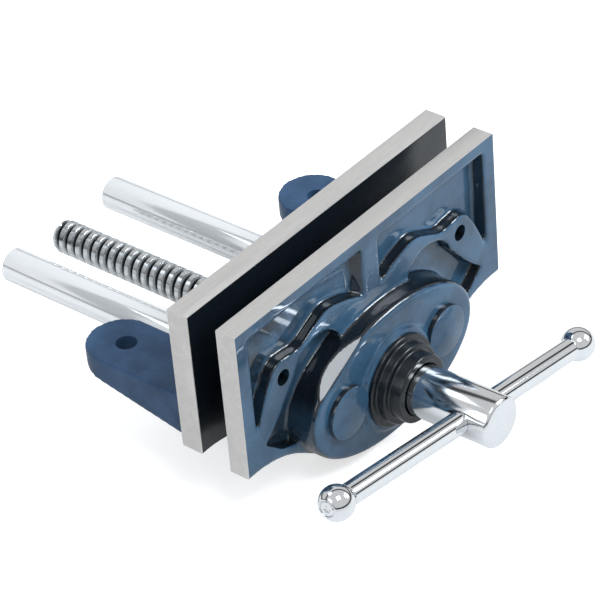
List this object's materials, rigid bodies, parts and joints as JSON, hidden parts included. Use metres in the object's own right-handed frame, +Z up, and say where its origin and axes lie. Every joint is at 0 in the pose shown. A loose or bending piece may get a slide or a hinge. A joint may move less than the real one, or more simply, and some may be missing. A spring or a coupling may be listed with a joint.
{
  "type": "bench vise",
  "caption": "Plain-screw woodworking bench vise: fixed jaw with bench ears, sliding front jaw on two guide rods, and a tommy bar.",
  "frame": {"origin": "midway between the two bench holes, on the plane of the ears' top faces", "axes": "+X along the jaws to the right of a person at the handle, +Y back under the bench, +Z up"},
  "size_m": [0.187, 0.2504, 0.1015],
  "materials": {
    "casting_enamel": "gloss",
    "bright_steel": "polished",
    "chrome_plate": "polished",
    "zinc_plate": "satin",
    "plain_steel": "satin",
    "nut_bronze": "satin"
  },
  "bodies": {
    "fixed_jaw": {"rear_jaw": "casting_enamel", "screw_nut": "nut_bronze", "nut_screws": "plain_steel"},
    "sliding_jaw": {"front_jaw": "casting_enamel", "guide_rod_left": "bright_steel", "guide_rod_right": "bright_steel", "guide_rod_pins": "plain_steel"},
    "screw": {"lead_screw": "zinc_plate", "screw_head": "chrome_plate", "head_pin": "plain_steel", "head_washer": "plain_steel", "collar_washer": "plain_steel", "retaining_collar": "plain_steel", "collar_pin": "plain_steel"},
    "handle_bar": {"tommy_bar": "chrome_plate", "bar_knob_left": "chrome_plate", "bar_knob_right": "chrome_plate"}
  },
  "joints": [
    {"name": "jaw_slide", "type": "slide", "parent": "fixed_jaw", "child": "sliding_jaw", "axis": [0, -1, 0], "range_m": [-0.0149, 0.115]},
    {"name": "screw_turn", "type": "hinge", "parent": "sliding_jaw", "child": "screw", "pos_m": [0, -0.1494, -0.0215], "axis": [0, -1, 0], "range_deg": [-1073, 8280.5]},
    {"name": "bar_slide", "type": "slide", "parent": "screw", "child": "handle_bar", "axis": [0.9869, 0, -0.1616], "range_m": [-0.0579, 0.0751]}
  ],
  "couplings": [
    {"joint": "screw_turn", "follows": "jaw_slide", "rad_per_m": 1256.6}
  ]
}
